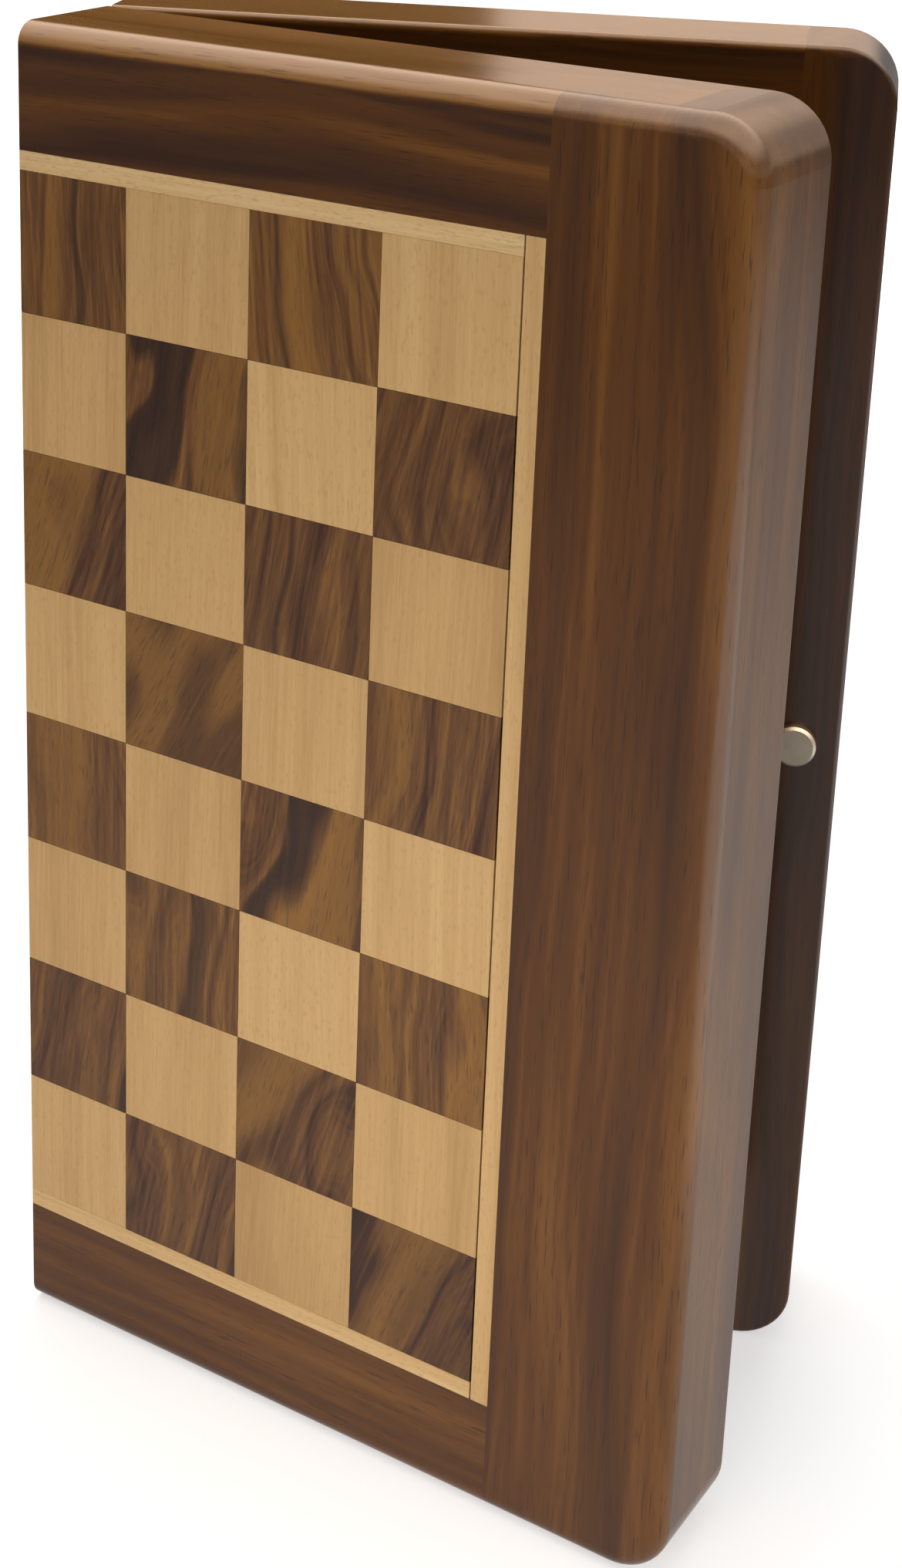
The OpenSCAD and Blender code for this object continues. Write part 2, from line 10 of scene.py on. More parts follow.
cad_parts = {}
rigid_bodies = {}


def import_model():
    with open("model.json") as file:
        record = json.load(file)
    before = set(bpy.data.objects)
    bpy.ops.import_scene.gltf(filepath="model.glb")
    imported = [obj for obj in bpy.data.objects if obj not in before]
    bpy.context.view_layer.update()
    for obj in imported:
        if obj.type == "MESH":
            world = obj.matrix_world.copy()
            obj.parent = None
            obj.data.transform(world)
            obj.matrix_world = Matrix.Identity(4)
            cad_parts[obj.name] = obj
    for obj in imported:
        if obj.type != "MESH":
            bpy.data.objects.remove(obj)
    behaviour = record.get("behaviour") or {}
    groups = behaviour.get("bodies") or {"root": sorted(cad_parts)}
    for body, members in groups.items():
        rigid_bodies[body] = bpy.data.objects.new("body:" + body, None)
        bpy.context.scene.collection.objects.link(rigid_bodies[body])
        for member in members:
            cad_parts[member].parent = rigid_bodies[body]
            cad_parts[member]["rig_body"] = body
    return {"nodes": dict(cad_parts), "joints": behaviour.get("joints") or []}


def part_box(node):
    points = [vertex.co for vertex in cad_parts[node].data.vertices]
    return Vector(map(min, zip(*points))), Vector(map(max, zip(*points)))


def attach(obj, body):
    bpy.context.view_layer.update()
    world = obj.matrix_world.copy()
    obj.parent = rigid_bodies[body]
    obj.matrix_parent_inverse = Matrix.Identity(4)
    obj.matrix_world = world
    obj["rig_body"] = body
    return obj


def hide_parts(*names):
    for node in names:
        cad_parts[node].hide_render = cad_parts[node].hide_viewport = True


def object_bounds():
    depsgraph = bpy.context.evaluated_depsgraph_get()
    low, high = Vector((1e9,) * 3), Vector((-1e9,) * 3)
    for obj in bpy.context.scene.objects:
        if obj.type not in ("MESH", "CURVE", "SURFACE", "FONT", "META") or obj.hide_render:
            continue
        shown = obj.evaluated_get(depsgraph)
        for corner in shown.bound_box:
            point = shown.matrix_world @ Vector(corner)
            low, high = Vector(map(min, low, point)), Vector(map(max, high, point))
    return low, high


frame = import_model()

bl_info = {
    "name": "Travel Chess Set Looks",
    "version": (1, 0, 0),
    "blender": (4, 5, 0),
    "location": "View3D > Sidebar > Chess Set",
    "description": "Woods, metals, foam, felt and studio of a folding magnetic travel chess set",
    "category": "Object",
}

cad_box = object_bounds()

MM = 0.001
HALVES = ("front", "rear")
MEN = ("king", "queen", "bishops", "knights", "rooks", "pawns")
RANKS = 8
FILES_OF_HALF = 4

# Size of a mark in the wood, across the grain and along it, in millimetres
GROWTH_DRIFT = (38, 150)
FRAME_STREAK = (3.4, 95)
FRAME_CLOUD = (22, 90)
SQUARE_CURL = (14, 30)
SQUARE_STREAK = (0.9, 22)
MAPLE_FIBRE = (0.45, 16)
TURNED_FIBRE = (0.4, 9)
PLYWOOD_GRAIN = (0.8, 40)
PLYWOOD_LAYER = (1, 400)
FLECK_LENGTH = 1.6
# Rings that the lathe's tool leaves, drawn coarser than real ones so that they show
TOOL_RING = (1000, 0.35)

# How far the growth rings wander, in millimetres
FRAME_WANDER = 25
SQUARE_WANDER = 9
MAPLE_WANDER = 5
TURNED_WANDER = 4

# Where the pith of the frame's log lies, across the board and behind it, in millimetres
PITH_ACROSS = (60, 110)
PITH_BEHIND = (-90, -50)
# How far the edge of the painted top light wanders and how softly it ends, in millimetres
TOP_LIGHT_WANDER = 3
TOP_LIGHT_FADE = 1.5

# The stock that each square, strip or man is cut from at random, in millimetres
PLANK = (700, 700, 2000)
# Side of a cell in a direction in which nothing is cut, in millimetres
UNCUT = 1000
# Each strip is cut whole from one cell, and the rear half's strips a little further along it
STRIP_CELL = 5000
STRIP_SHIFT = 7

# Each half's shade of wood, added painted top light, and the share of its band's width kept
# Rear half: its lower shade is painted shade for its rim between the halves, and its added top
# light is painted light on its top face
HALF_WOOD = (("front", 0, 0, 0.85), ("rear", -0.09, 0.1, 0.4))
# Each frame part, whether its grain is level, its shade and its painted top light
FRAME_PARTS = (
    ("outer_stile", False, 0, 0.16),
    # The top rail's lower shade is painted shade for the dimmer light at the board's top
    ("top_rail", True, -0.1, 0.5),
    ("bottom_rail", True, 0, 0),
    ("fold_wall", False, 0, 0),
)
FRAME_SEED = 11
# Each maple strip, whether its grain is level, and its paleness
STRIP_PARTS = (("side", False, 0.1), ("top", True, 0.3), ("bottom", True, 0.2))

# Marks of use in metal and clouds in foam, in millimetres
HANDLING_MARK = 3
FOAM_CLOUD = 6

# In a soft part's mesh: gaps that are closed, and angles that count as flat or as sharp
WELD = 0.01 * MM
FLAT = math.radians(1)
SHARP = math.radians(40)

# The floor as gloss sees it, a painted pool of light that no lamp casts: its colour by the
# distance from the pool's middle, which is a share of the pool's reach. At POOL_END it meets
# the foot of the wall.
POOL_COLOURS = (
    (0.25, "#FFFFFF"), (0.34, "#ACA9A7"), (0.42, "#A09D9B"), (0.58, "#989593"),
    (0.72, "#878482"),
)
POOL_END = 0.94
# Grain of the matt floor, in marks per metre, coarser than real board so that it shows
FLOOR_TOOTH = 900

# Heights in the painted room that only gloss sees, as the upward part of a direction of length 1
WALL_FOOT = (0, 0.11)
CURTAIN_TOP = (0.32, 0.5)
CEILING_EDGE = (0.3, 0.75)
# Half the width of the curtain's soft side edges, on the same scale
CURTAIN_FADE = 0.003

FILM_WIDTH = 36
NEAREST, FARTHEST = 0.01, 200


def linear(hex_colour):
    """An sRGB hex value as a linear colour with full alpha."""
    parts = [int(hex_colour[i : i + 2], 16) / 255 for i in (1, 3, 5)]
    return [p / 12.92 if p <= 0.04045 else ((p + 0.055) / 1.055) ** 2.4 for p in parts] + [1]


def shaded(tone, gain, lift=0):
    """A colour made darker or paler, with full alpha."""
    return [min(1, part * gain + lift) for part in tone[:3]] + [1]


def hinge_axis():
    """The upright line that the set folds about, as its x and y at rest."""
    low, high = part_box("lower_hinge_pin")
    return (low.x + high.x) / 2, (low.y + high.y) / 2


def opening_angle():
    """The angle between the two halves at rest: the joint's travel from here to shut."""
    return -math.radians(frame["joints"][0]["range_deg"][0])


AXIS_X, AXIS_Y = hinge_axis()
OPEN_ANGLE = opening_angle()


def colour(default, name, description):
    """A colour that a user may change, given by its sRGB hex value."""
    return bpy.props.FloatVectorProperty(
        name=name, description=description, default=linear(default), size=4, min=0, max=1,
        subtype="COLOR",
    )


def length(default_mm, name, description):
    """A length that a user may change, given in millimetres."""
    return bpy.props.FloatProperty(
        name=name, description=description, default=default_mm * MM, min=0,
        subtype="DISTANCE", unit="LENGTH",
    )


def place(default, name, description):
    """A place or a step that a user may change, in metres."""
    return bpy.props.FloatVectorProperty(
        name=name, description=description, default=default, size=3,
        subtype="TRANSLATION", unit="LENGTH",
    )


def power(default, name, description):
    """The power of a lamp, in watts."""
    return bpy.props.FloatProperty(
        name=name, description=description, default=default, min=0, unit="POWER",
    )


class WoodSettings(bpy.types.PropertyGroup):
    """Colours and grain of the rosewood frame, the squares, the strips and the men"""

    frame_dark: colour("#351D0F", "Frame, dark", "Late wood of the rosewood frame")
    frame_mid: colour("#583311", "Frame, middle", "Heartwood of the rosewood frame")
    frame_light: colour("#80531F", "Frame, light", "Pale streaks of the rosewood frame")
    # The pale frame colour is painted light: it fills the band along the top rails' upper edge
    frame_top_light: colour("#A0703C", "Frame, pale", "Sapwood at the edge of the top rails")
    square_black: colour("#281914", "Square, black", "Nearly black streaks of the dark squares")
    square_dark: colour("#3D2214", "Square, dark", "Brown streaks of the dark squares")
    square_mid: colour("#634022", "Square, middle", "Heartwood of the dark squares")
    square_gold: colour("#8B602B", "Square, gold", "Golden streaks of the dark squares")
    maple_light: colour("#CCA671", "Maple, light", "Early wood of the maple")
    maple_mid: colour("#BE9763", "Maple, middle", "Body colour of the maple")
    maple_dark: colour("#A67F4E", "Maple, dark", "Flecks and lines of the maple")
    maple_pale: colour("#D8BA8D", "Maple, pale", "Outer wood of the level maple strips")
    boxwood_light: colour("#DCC08C", "Boxwood, light", "Body colour of the light men")
    boxwood_dark: colour("#BF9A61", "Boxwood, dark", "Lines of the light men")
    pore_width: length(0.3, "Pore width", "Width of a rosewood pore, drawn coarse enough to show")
    pore_length: length(7, "Pore length", "Length of a rosewood pore along the grain")
    ring_width: length(8, "Ring width", "Width of the rosewood's growth bands")
    # Width of the band of painted top light along the top rails' upper edge
    top_light_width: length(4.5, "Sapwood width", "Pale band along the top rails' upper edge")
    fleck_width: length(0.5, "Fleck width", "Width of a fleck in the maple")
    saw_gap: length(0.08, "Saw gap", "Gap between two squares")


class MetalSettings(bpy.types.PropertyGroup):
    """Colours and marks of the hinges, the stud, the magnets and the steel sheets"""

    brass: colour("#B58E46", "Brass", "Lacquered brass of the hinges and screws")
    nickel: colour("#BDB4A4", "Nickel", "Satin nickel of the closing stud")
    magnet: colour("#B9BABD", "Magnet", "Nickel plate of the magnets")
    steel: colour("#9A9C9F", "Steel", "Cold-rolled steel sheet")
    scratch_width: length(0.12, "Scratch width", "Width of a mark, drawn coarse enough to show")


class TraySettings(bpy.types.PropertyGroup):
    """Colours and sizes of the foam inserts, the felts and the plywood"""

    foam: colour("#1C1B1D", "Foam", "Die-cut closed-cell foam")
    felt: colour("#1E4A34", "Felt", "Pressed wool felt under the men")
    plywood: colour("#B8945F", "Plywood", "Face veneer of the tray's floor")
    plywood_core: colour("#8B6A42", "Plywood core", "Cross layers at the plywood's edge")
    foam_edge: length(0.5, "Foam edge", "Rounding of the foam's cut edges")
    foam_cell: length(0.35, "Foam cell", "Size of the foam's cells, drawn coarse enough to show")
    felt_edge: length(0.15, "Felt edge", "Rounding of the felt's edge")
    felt_fibre: length(0.25, "Felt fibre", "Thickness of the felt's tufts, coarse enough to show")


class StudioSettings(bpy.types.PropertyGroup):
    """The camera, the lamps and the pale room"""

    camera_place: place((0.2099, -0.34122, 0.32019), "Camera place", "Where the camera stands")
    camera_turn: bpy.props.FloatVectorProperty(
        name="Camera turn", description="How the camera is turned", size=3,
        default=[math.radians(a) for a in (72.6583, -1.3276, 33.5915)], subtype="EULER",
    )
    lens: bpy.props.FloatProperty(
        name="Lens", description="Focal length in millimetres", default=58.08, min=10,
    )
    shift: bpy.props.FloatVectorProperty(
        name="Shift", description="Shift of the picture, as a share of its long side", size=2,
        default=(0.0812, -0.2393),
    )
    floor: colour("#E4E2DF", "Floor", "Pale matt floor")
    floor_size: length(60000, "Floor size", "Side of the square floor")
    floor_glow: bpy.props.FloatVectorProperty(
        name="Floor glow", description="What lifts the seen floor to white, near and far", size=2,
        default=(0.5, 0.85), min=0,
    )
    near_floor: length(300, "Near floor", "Reach of the floor that shows the set's shadow")
    far_floor: length(850, "Far floor", "Where the seen floor has its full glow")
    # The wall, its foot, the ceiling and the curtain are painted reflections that only gloss sees
    wall: colour("#F8DFCB", "Wall", "Warm pale wall that the lacquer mirrors")
    horizon: colour("#827E7B", "Horizon", "Foot of the wall and far end of the mirrored floor")
    ceiling: bpy.props.FloatProperty(
        name="Ceiling", description="Level of the bright ceiling that gloss mirrors", default=4.8,
        min=0,
    )
    curtain: colour("#1C1511", "Curtain", "Dim curtain behind the set, which the lacquer mirrors")
    curtain_right: bpy.props.FloatProperty(
        name="Curtain, right", description="Right edge of the curtain, left of straight back",
        default=math.radians(29.5), subtype="ANGLE", unit="ROTATION",
    )
    curtain_left: bpy.props.FloatProperty(
        name="Curtain, left", description="Left edge of the curtain, left of straight back",
        default=math.radians(62), subtype="ANGLE", unit="ROTATION",
    )
    # The pool is painted light on the floor that only gloss sees
    pool_place: place((0.54, 0.06, 0), "Pool place", "Brightest spot of the mirrored floor")
    pool_level: bpy.props.FloatProperty(
        name="Pool level", description="Level of the brightest spot", default=1.6, min=0.5,
    )
    pool_reach: length(1200, "Pool reach", "Where the mirrored floor has grown dim")
    room_light: bpy.props.FloatProperty(
        name="Room light", description="Level of the even light of the room", default=0.3, min=0,
    )
    overhead_place: place((-0.5, -0.05, 1.1), "Overhead place", "Overhead lamp, from the middle")
    overhead_size: length(1700, "Overhead size", "Side of the soft overhead lamp")
    overhead_power: power(9, "Overhead power", "Power of the soft overhead lamp")
    front_place: place((0.06, -0.33, -0.06), "Front place", "Low front lamp, from the middle")
    front_size: length(160, "Front size", "Side of the low lamp in front")
    front_power: power(0.5, "Front power", "Power of the low lamp in front")
    back_place: place((-0.3, 1.2, 0.5), "Back place", "Lamp behind the set, from the middle")
    back_size: length(1200, "Back size", "Side of the soft lamp behind the set")
    back_power: power(8, "Back power", "Power of the soft lamp behind the set")
    side_place: place((0.38, -0.05, 0), "Side place", "Low side lamp, from the middle")
    side_size: length(260, "Side size", "Side of the low lamp at the right")
    side_power: power(0.38, "Side power", "Power of the low lamp at the right")


SETTINGS = {
    "chess_wood": WoodSettings,
    "chess_metal": MetalSettings,
    "chess_tray": TraySettings,
    "chess_studio": StudioSettings,
}


def node(tree, kind, inputs=None, stops=None, **settings):
    """Adds a node. Each input is a value or another node's socket, and stops fill a ramp."""
    made = tree.nodes.new(kind)
    for name, value in settings.items():
        setattr(made, name, value)
    for key, value in (inputs or {}).items():
        if isinstance(value, bpy.types.NodeSocket):
            tree.links.new(value, made.inputs[key])
        else:
            made.inputs[key].default_value = value
    if stops:
        ramp = made.color_ramp.elements
        while len(ramp) < len(stops):
            ramp.new(0.5)
        for element, (position, stop_colour) in zip(ramp, stops):
            element.position = position
            element.color = stop_colour
    return made


def new_material(name):
    """An empty material and its node tree."""
    material = bpy.data.materials.new(name)
    material.use_nodes = True
    material.node_tree.nodes.clear()
    return material, material.node_tree


def close_material(tree, shader):
    """Joins a shader to the material's output."""
    node(tree, "ShaderNodeOutputMaterial", {"Surface": shader.outputs[0]})


def half_coordinates(tree, half):
    """Millimetres in one half's own frame: x from the hinge axis, z up."""
    where = node(tree, "ShaderNodeTexCoord").outputs["Object"]
    turn = Matrix.Rotation(-OPEN_ANGLE if half == "rear" else 0, 3, "Z")
    move = turn @ Vector((AXIS_X, AXIS_Y, 0)) / -MM
    return node(
        tree, "ShaderNodeMapping",
        {
            "Vector": where,
            "Location": move,
            "Rotation": turn.to_euler(),
            "Scale": (1 / MM, 1 / MM, 1 / MM),
        },
    ).outputs[0]


def grain_frame(tree, point, level):
    """Turns a point so that its z runs along the grain, which is level or upright."""
    if not level:
        return point
    return node(
        tree, "ShaderNodeVectorRotate",
        {"Vector": point, "Angle": math.radians(-90)}, rotation_type="Y_AXIS",
    ).outputs[0]


def stretched(tree, point, across, along, shift=(0, 0, 0)):
    """A point in units of one mark, whose width and length are given in the point's own unit."""
    return node(
        tree, "ShaderNodeMapping",
        {
            "Vector": point,
            "Location": shift,
            "Scale": (1 / across, 1 / across, 1 / along),
        },
    ).outputs[0]


def cells(tree, point, origin, pitch, tilt):
    """Cuts a board into cells, and gives each cell its own stretch of a plank.

    Returns the point in the plank, in millimetres, and three random numbers per cell."""
    from_corner = node(
        tree, "ShaderNodeVectorMath", {0: point, 1: origin}, operation="SUBTRACT"
    ).outputs[0]
    corner = node(
        tree, "ShaderNodeVectorMath", {0: from_corner, 1: pitch}, operation="SNAP"
    ).outputs[0]
    chance = node(
        tree, "ShaderNodeTexWhiteNoise", {"Vector": corner}, noise_dimensions="3D"
    )
    inside = node(
        tree, "ShaderNodeVectorMath", {0: from_corner, 1: corner}, operation="SUBTRACT"
    ).outputs[0]
    angle = node(
        tree, "ShaderNodeMapRange",
        {"Value": chance.outputs["Value"], "To Min": tilt[0], "To Max": tilt[1]},
    ).outputs[0]
    turned = node(
        tree, "ShaderNodeVectorRotate", {"Vector": inside, "Angle": angle},
        rotation_type="Y_AXIS",
    ).outputs[0]
    plank = node(
        tree, "ShaderNodeVectorMath",
        {0: chance.outputs["Color"], 1: PLANK, 2: turned}, operation="MULTIPLY_ADD",
    ).outputs[0]
    return plank, chance.outputs["Color"]


def ring_distance(tree, point, pith, wander):
    """Distance from the log's pith, in millimetres, made uneven by the tree's growth."""
    drift = node(
        tree, "ShaderNodeTexNoise",
        {"Vector": stretched(tree, point, *GROWTH_DRIFT), "Scale": 1, "Detail": 2,
         "Roughness": 0.45},
    ).outputs["Color"]
    pushed = node(
        tree, "ShaderNodeVectorMath", {0: drift, 1: (wander, wander, 0), 2: point},
        operation="MULTIPLY_ADD",
    ).outputs[0]
    across = node(
        tree, "ShaderNodeVectorMath", {0: pushed, 1: (1, 1, 0), 2: pith},
        operation="MULTIPLY_ADD",
    ).outputs[0]
    return node(tree, "ShaderNodeVectorMath", {0: across}, operation="LENGTH").outputs["Value"]


def band_noise(tree, distance, width, detail=3, roughness=0.55, shift=0):
    """Growth bands as a value from 0 to 1, about one change per width in millimetres."""
    scaled = node(
        tree, "ShaderNodeMath", {0: distance, 1: 1 / width, 2: shift}, operation="MULTIPLY_ADD"
    ).outputs[0]
    return node(
        tree, "ShaderNodeTexNoise",
        {"W": scaled, "Scale": 1, "Detail": detail, "Roughness": roughness},
        noise_dimensions="1D",
    ).outputs[0]


def sum_of(tree, terms, start=0):
    """Adds up values, each times its weight."""
    total = start
    for value, weight in terms:
        total = node(
            tree, "ShaderNodeMath", {0: value, 1: weight, 2: total}, operation="MULTIPLY_ADD"
        ).outputs[0]
    return total


def mix_colour(tree, share, first, second, blend="MIX"):
    """Two colours mixed by a share. Sockets 6, 7 and 2 of the node are its colours."""
    return node(
        tree, "ShaderNodeMix", {0: share, 6: first, 7: second}, data_type="RGBA",
        blend_type=blend,
    ).outputs[2]


def lacquered(tree, base, height, roughness, depth_mm):
    """The wood's surface, under its lacquer or bare: gloss by its roughness, with the pores and
    marks just showing in it. The depth is that of the deepest mark."""
    bump = node(
        tree, "ShaderNodeBump", {"Height": height, "Strength": 0.5, "Distance": depth_mm * MM}
    ).outputs[0]
    shader = node(
        tree, "ShaderNodeBsdfPrincipled",
        {
            "Base Color": base,
            "Roughness": roughness,
            "IOR": 1.5,
            "Normal": bump,
        },
    )
    close_material(tree, shader)


def rosewood_frame(name, half, level, seed, shade=0, top_light=0, reach=1):
    """Indian rosewood, planed, sanded and lacquered: brown heartwood with darker growth bands
    and pale streaks that follow the grain, fine open pores, and a soft gloss. A pale band of
    painted light runs along the upper edge and stands for the top faces lit from above:
    sapwood says how pale the band is, and reach is the share of the band's width that it keeps.
    Shade makes the whole part paler, or darker when it is below 0."""
    wood = bpy.context.scene.chess_wood
    chance = random.Random(seed)
    material, tree = new_material(name)
    upright = half_coordinates(tree, half)
    point = grain_frame(tree, upright, level)
    pith = (chance.uniform(*PITH_ACROSS), chance.uniform(*PITH_BEHIND), 0)
    distance = ring_distance(tree, point, pith, FRAME_WANDER)
    shift = chance.uniform(0, 90)
    ring = wood.ring_width / MM
    bands = band_noise(tree, distance, ring, detail=3, roughness=0.6, shift=shift)
    broad = band_noise(tree, distance, 5 * ring, detail=1, roughness=0.5, shift=shift + 31)
    streaks = node(
        tree, "ShaderNodeTexNoise",
        {"Vector": stretched(tree, point, *FRAME_STREAK, (shift, 0, 0)), "Scale": 1,
         "Detail": 4, "Roughness": 0.55},
    ).outputs[0]
    cloud = node(
        tree, "ShaderNodeTexNoise",
        {"Vector": stretched(tree, point, *FRAME_CLOUD, (0, shift, 0)), "Scale": 1,
         "Detail": 1},
    ).outputs[0]
    height = node(tree, "ShaderNodeSeparateXYZ", {0: upright}).outputs[2]
    # Painted light: a pale band along the upper edge stands for the top faces lit from above
    lowest = (cad_box[1].z - wood.top_light_width * reach) / MM - TOP_LIGHT_WANDER / 2
    edge = sum_of(tree, [(bands, TOP_LIGHT_WANDER)], lowest)
    faded = sum_of(tree, [(edge, 1)], TOP_LIGHT_FADE)
    pale = node(
        tree, "ShaderNodeMapRange",
        {"Value": height, "From Min": edge, "From Max": faded},
        interpolation_type="SMOOTHSTEP",
    ).outputs[0]
    tone = sum_of(
        tree,
        [(bands, 0.5), (broad, 0.5), (streaks, 0.34), (cloud, 0.24), (pale, top_light)],
        shade - 0.3,
    )
    body = node(
        tree, "ShaderNodeValToRGB", {0: tone},
        [(0.28, wood.frame_dark), (0.5, wood.frame_mid), (0.72, wood.frame_light),
         (0.95, wood.frame_top_light)],
    ).outputs[0]
    pores = node(
        tree, "ShaderNodeTexNoise",
        {"Vector": stretched(tree, point, wood.pore_width / MM, wood.pore_length / MM),
         "Scale": 1, "Detail": 1},
    ).outputs[0]
    open_pore = node(
        tree, "ShaderNodeMapRange", {"Value": pores, "From Min": 0.62, "From Max": 0.71}
    ).outputs[0]
    pore_share = sum_of(tree, [(open_pore, 0.6)])
    base = mix_colour(tree, pore_share, body, wood.frame_dark)
    gloss = sum_of(tree, [(open_pore, 0.04), (cloud, 0.1)], 0.1)
    relief = sum_of(tree, [(open_pore, -1), (streaks, 0.25)])
    lacquered(tree, base, relief, gloss, depth_mm=0.003)
    return material


def rosewood_squares(name, half, origin, pitch):
    """Small rosewood tiles cut from many planks: each has its own slant of grain, its own
    black and golden streaks and its own shade, sanded flush and lacquered."""
    wood = bpy.context.scene.chess_wood
    material, tree = new_material(name)
    board = half_coordinates(tree, half)
    point, chance = cells(tree, board, origin, pitch, tilt=(-0.5, 0.15))
    curl = node(
        tree, "ShaderNodeTexNoise",
        {"Vector": stretched(tree, point, *SQUARE_CURL), "Scale": 1, "Detail": 1},
    ).outputs[0]
    rings = ring_distance(tree, point, (0, 0, 0), SQUARE_WANDER)
    distance = sum_of(tree, [(curl, SQUARE_WANDER)], rings)
    bands = band_noise(tree, distance, 2.4, detail=4, roughness=0.6)
    bold = band_noise(tree, distance, 4.2, detail=1, roughness=0.5, shift=57)
    gold = band_noise(tree, distance, 6, detail=1, roughness=0.5, shift=113)
    streaks = node(
        tree, "ShaderNodeTexNoise",
        {"Vector": stretched(tree, point, *SQUARE_STREAK), "Scale": 1, "Detail": 4,
         "Roughness": 0.6},
    ).outputs[0]
    shade = node(tree, "ShaderNodeSeparateColor", {0: chance}).outputs
    tone = sum_of(tree, [(bands, 0.68), (streaks, 0.62), (shade[0], 0.22)], -0.28)
    body = node(
        tree, "ShaderNodeValToRGB", {0: tone},
        [(0.3, wood.square_dark), (0.52, wood.square_mid), (0.8, wood.square_gold)],
    ).outputs[0]
    gold_share = node(
        tree, "ShaderNodeMapRange",
        {"Value": sum_of(tree, [(shade[1], 0.2)], gold), "From Min": 0.6, "From Max": 0.85,
         "To Max": 0.7},
    ).outputs[0]
    golden = mix_colour(tree, gold_share, body, wood.square_gold)
    black_share = node(
        tree, "ShaderNodeMapRange",
        {"Value": sum_of(tree, [(shade[2], 0.25)], bold), "From Min": 0.46, "From Max": 0.36,
         "To Max": 0.78},
    ).outputs[0]
    streaked = mix_colour(tree, black_share, golden, wood.square_black)
    pores = node(
        tree, "ShaderNodeTexNoise",
        {"Vector": stretched(tree, point, wood.pore_width / MM, wood.pore_length / MM / 2),
         "Scale": 1, "Detail": 1},
    ).outputs[0]
    open_pore = node(
        tree, "ShaderNodeMapRange", {"Value": pores, "From Min": 0.58, "From Max": 0.7}
    ).outputs[0]
    pore_share = sum_of(tree, [(open_pore, 0.4)])
    base = mix_colour(tree, pore_share, streaked, wood.square_black)
    relief = sum_of(tree, [(open_pore, -1), (streaks, 0.3)])
    gloss = sum_of(tree, [(open_pore, 0.2)], 0.13)
    lacquered(tree, base, relief, gloss, depth_mm=0.012)
    return material


def maple(name, half, origin, pitch, level=False, paleness=0):
    """Hard maple, sanded and lacquered: an even pale brown with faint upright bands and short
    darker flecks, smoother than the rosewood because its pores are closed. Wood from the
    log's outside is paler."""
    wood = bpy.context.scene.chess_wood
    material, tree = new_material(name)
    board = half_coordinates(tree, half)
    point, chance = cells(tree, board, origin, pitch, tilt=(-0.04, 0.04))
    point = grain_frame(tree, point, level)
    distance = ring_distance(tree, point, (0, 0, 0), MAPLE_WANDER)
    bands = band_noise(tree, distance, 3.2, detail=3, roughness=0.55)
    fibres = node(
        tree, "ShaderNodeTexNoise",
        {"Vector": stretched(tree, point, *MAPLE_FIBRE), "Scale": 1, "Detail": 3,
         "Roughness": 0.6},
    ).outputs[0]
    shade = node(tree, "ShaderNodeSeparateColor", {0: chance}).outputs
    tone = sum_of(
        tree, [(bands, 0.5), (fibres, 0.4), (shade[0], 0.2)], paleness - 0.05
    )
    body = node(
        tree, "ShaderNodeValToRGB", {0: tone},
        [(0.25, wood.maple_dark), (0.5, wood.maple_mid), (0.75, wood.maple_light),
         (1, wood.maple_pale)],
    ).outputs[0]
    flecks = node(
        tree, "ShaderNodeTexNoise",
        {"Vector": stretched(tree, point, wood.fleck_width / MM, FLECK_LENGTH), "Scale": 1,
         "Detail": 2},
    ).outputs[0]
    fleck = node(
        tree, "ShaderNodeMapRange",
        {"Value": flecks, "From Min": 0.56, "From Max": 0.72, "To Max": 0.4},
    ).outputs[0]
    base = mix_colour(tree, fleck, body, wood.maple_dark)
    relief = sum_of(tree, [(fleck, -0.5), (fibres, 0.3)])
    gloss = sum_of(tree, [(fibres, 0.1)], 0.14)
    lacquered(tree, base, relief, gloss, depth_mm=0.008)
    return material


def turned_wood(name, half, origin, pitch, light, dark):
    """Boxwood or rosewood turned on a lathe and polished: level grain, faint rings from the
    turning tool and a soft gloss."""
    material, tree = new_material(name)
    board = half_coordinates(tree, half)
    point, chance = cells(tree, board, origin, pitch, tilt=(-0.05, 0.05))
    point = grain_frame(tree, point, True)
    distance = ring_distance(tree, point, (0, 0, 0), TURNED_WANDER)
    bands = band_noise(tree, distance, 1.8, detail=3, roughness=0.6)
    fibres = node(
        tree, "ShaderNodeTexNoise",
        {"Vector": stretched(tree, point, *TURNED_FIBRE), "Scale": 1, "Detail": 3},
    ).outputs[0]
    shade = node(tree, "ShaderNodeSeparateColor", {0: chance}).outputs
    tone = sum_of(tree, [(bands, 0.6), (fibres, 0.35), (shade[0], 0.2)], -0.08)
    base = node(
        tree, "ShaderNodeValToRGB", {0: tone}, [(0.3, dark), (0.7, light)]
    ).outputs[0]
    tool = node(
        tree, "ShaderNodeTexNoise",
        {"Vector": stretched(tree, point, *TOOL_RING), "Scale": 1, "Detail": 1},
    ).outputs[0]
    relief = sum_of(tree, [(tool, 0.7), (fibres, 0.3)])
    gloss = sum_of(tree, [(fibres, 0.1)], 0.22)
    lacquered(tree, base, relief, gloss, depth_mm=0.02)
    return material


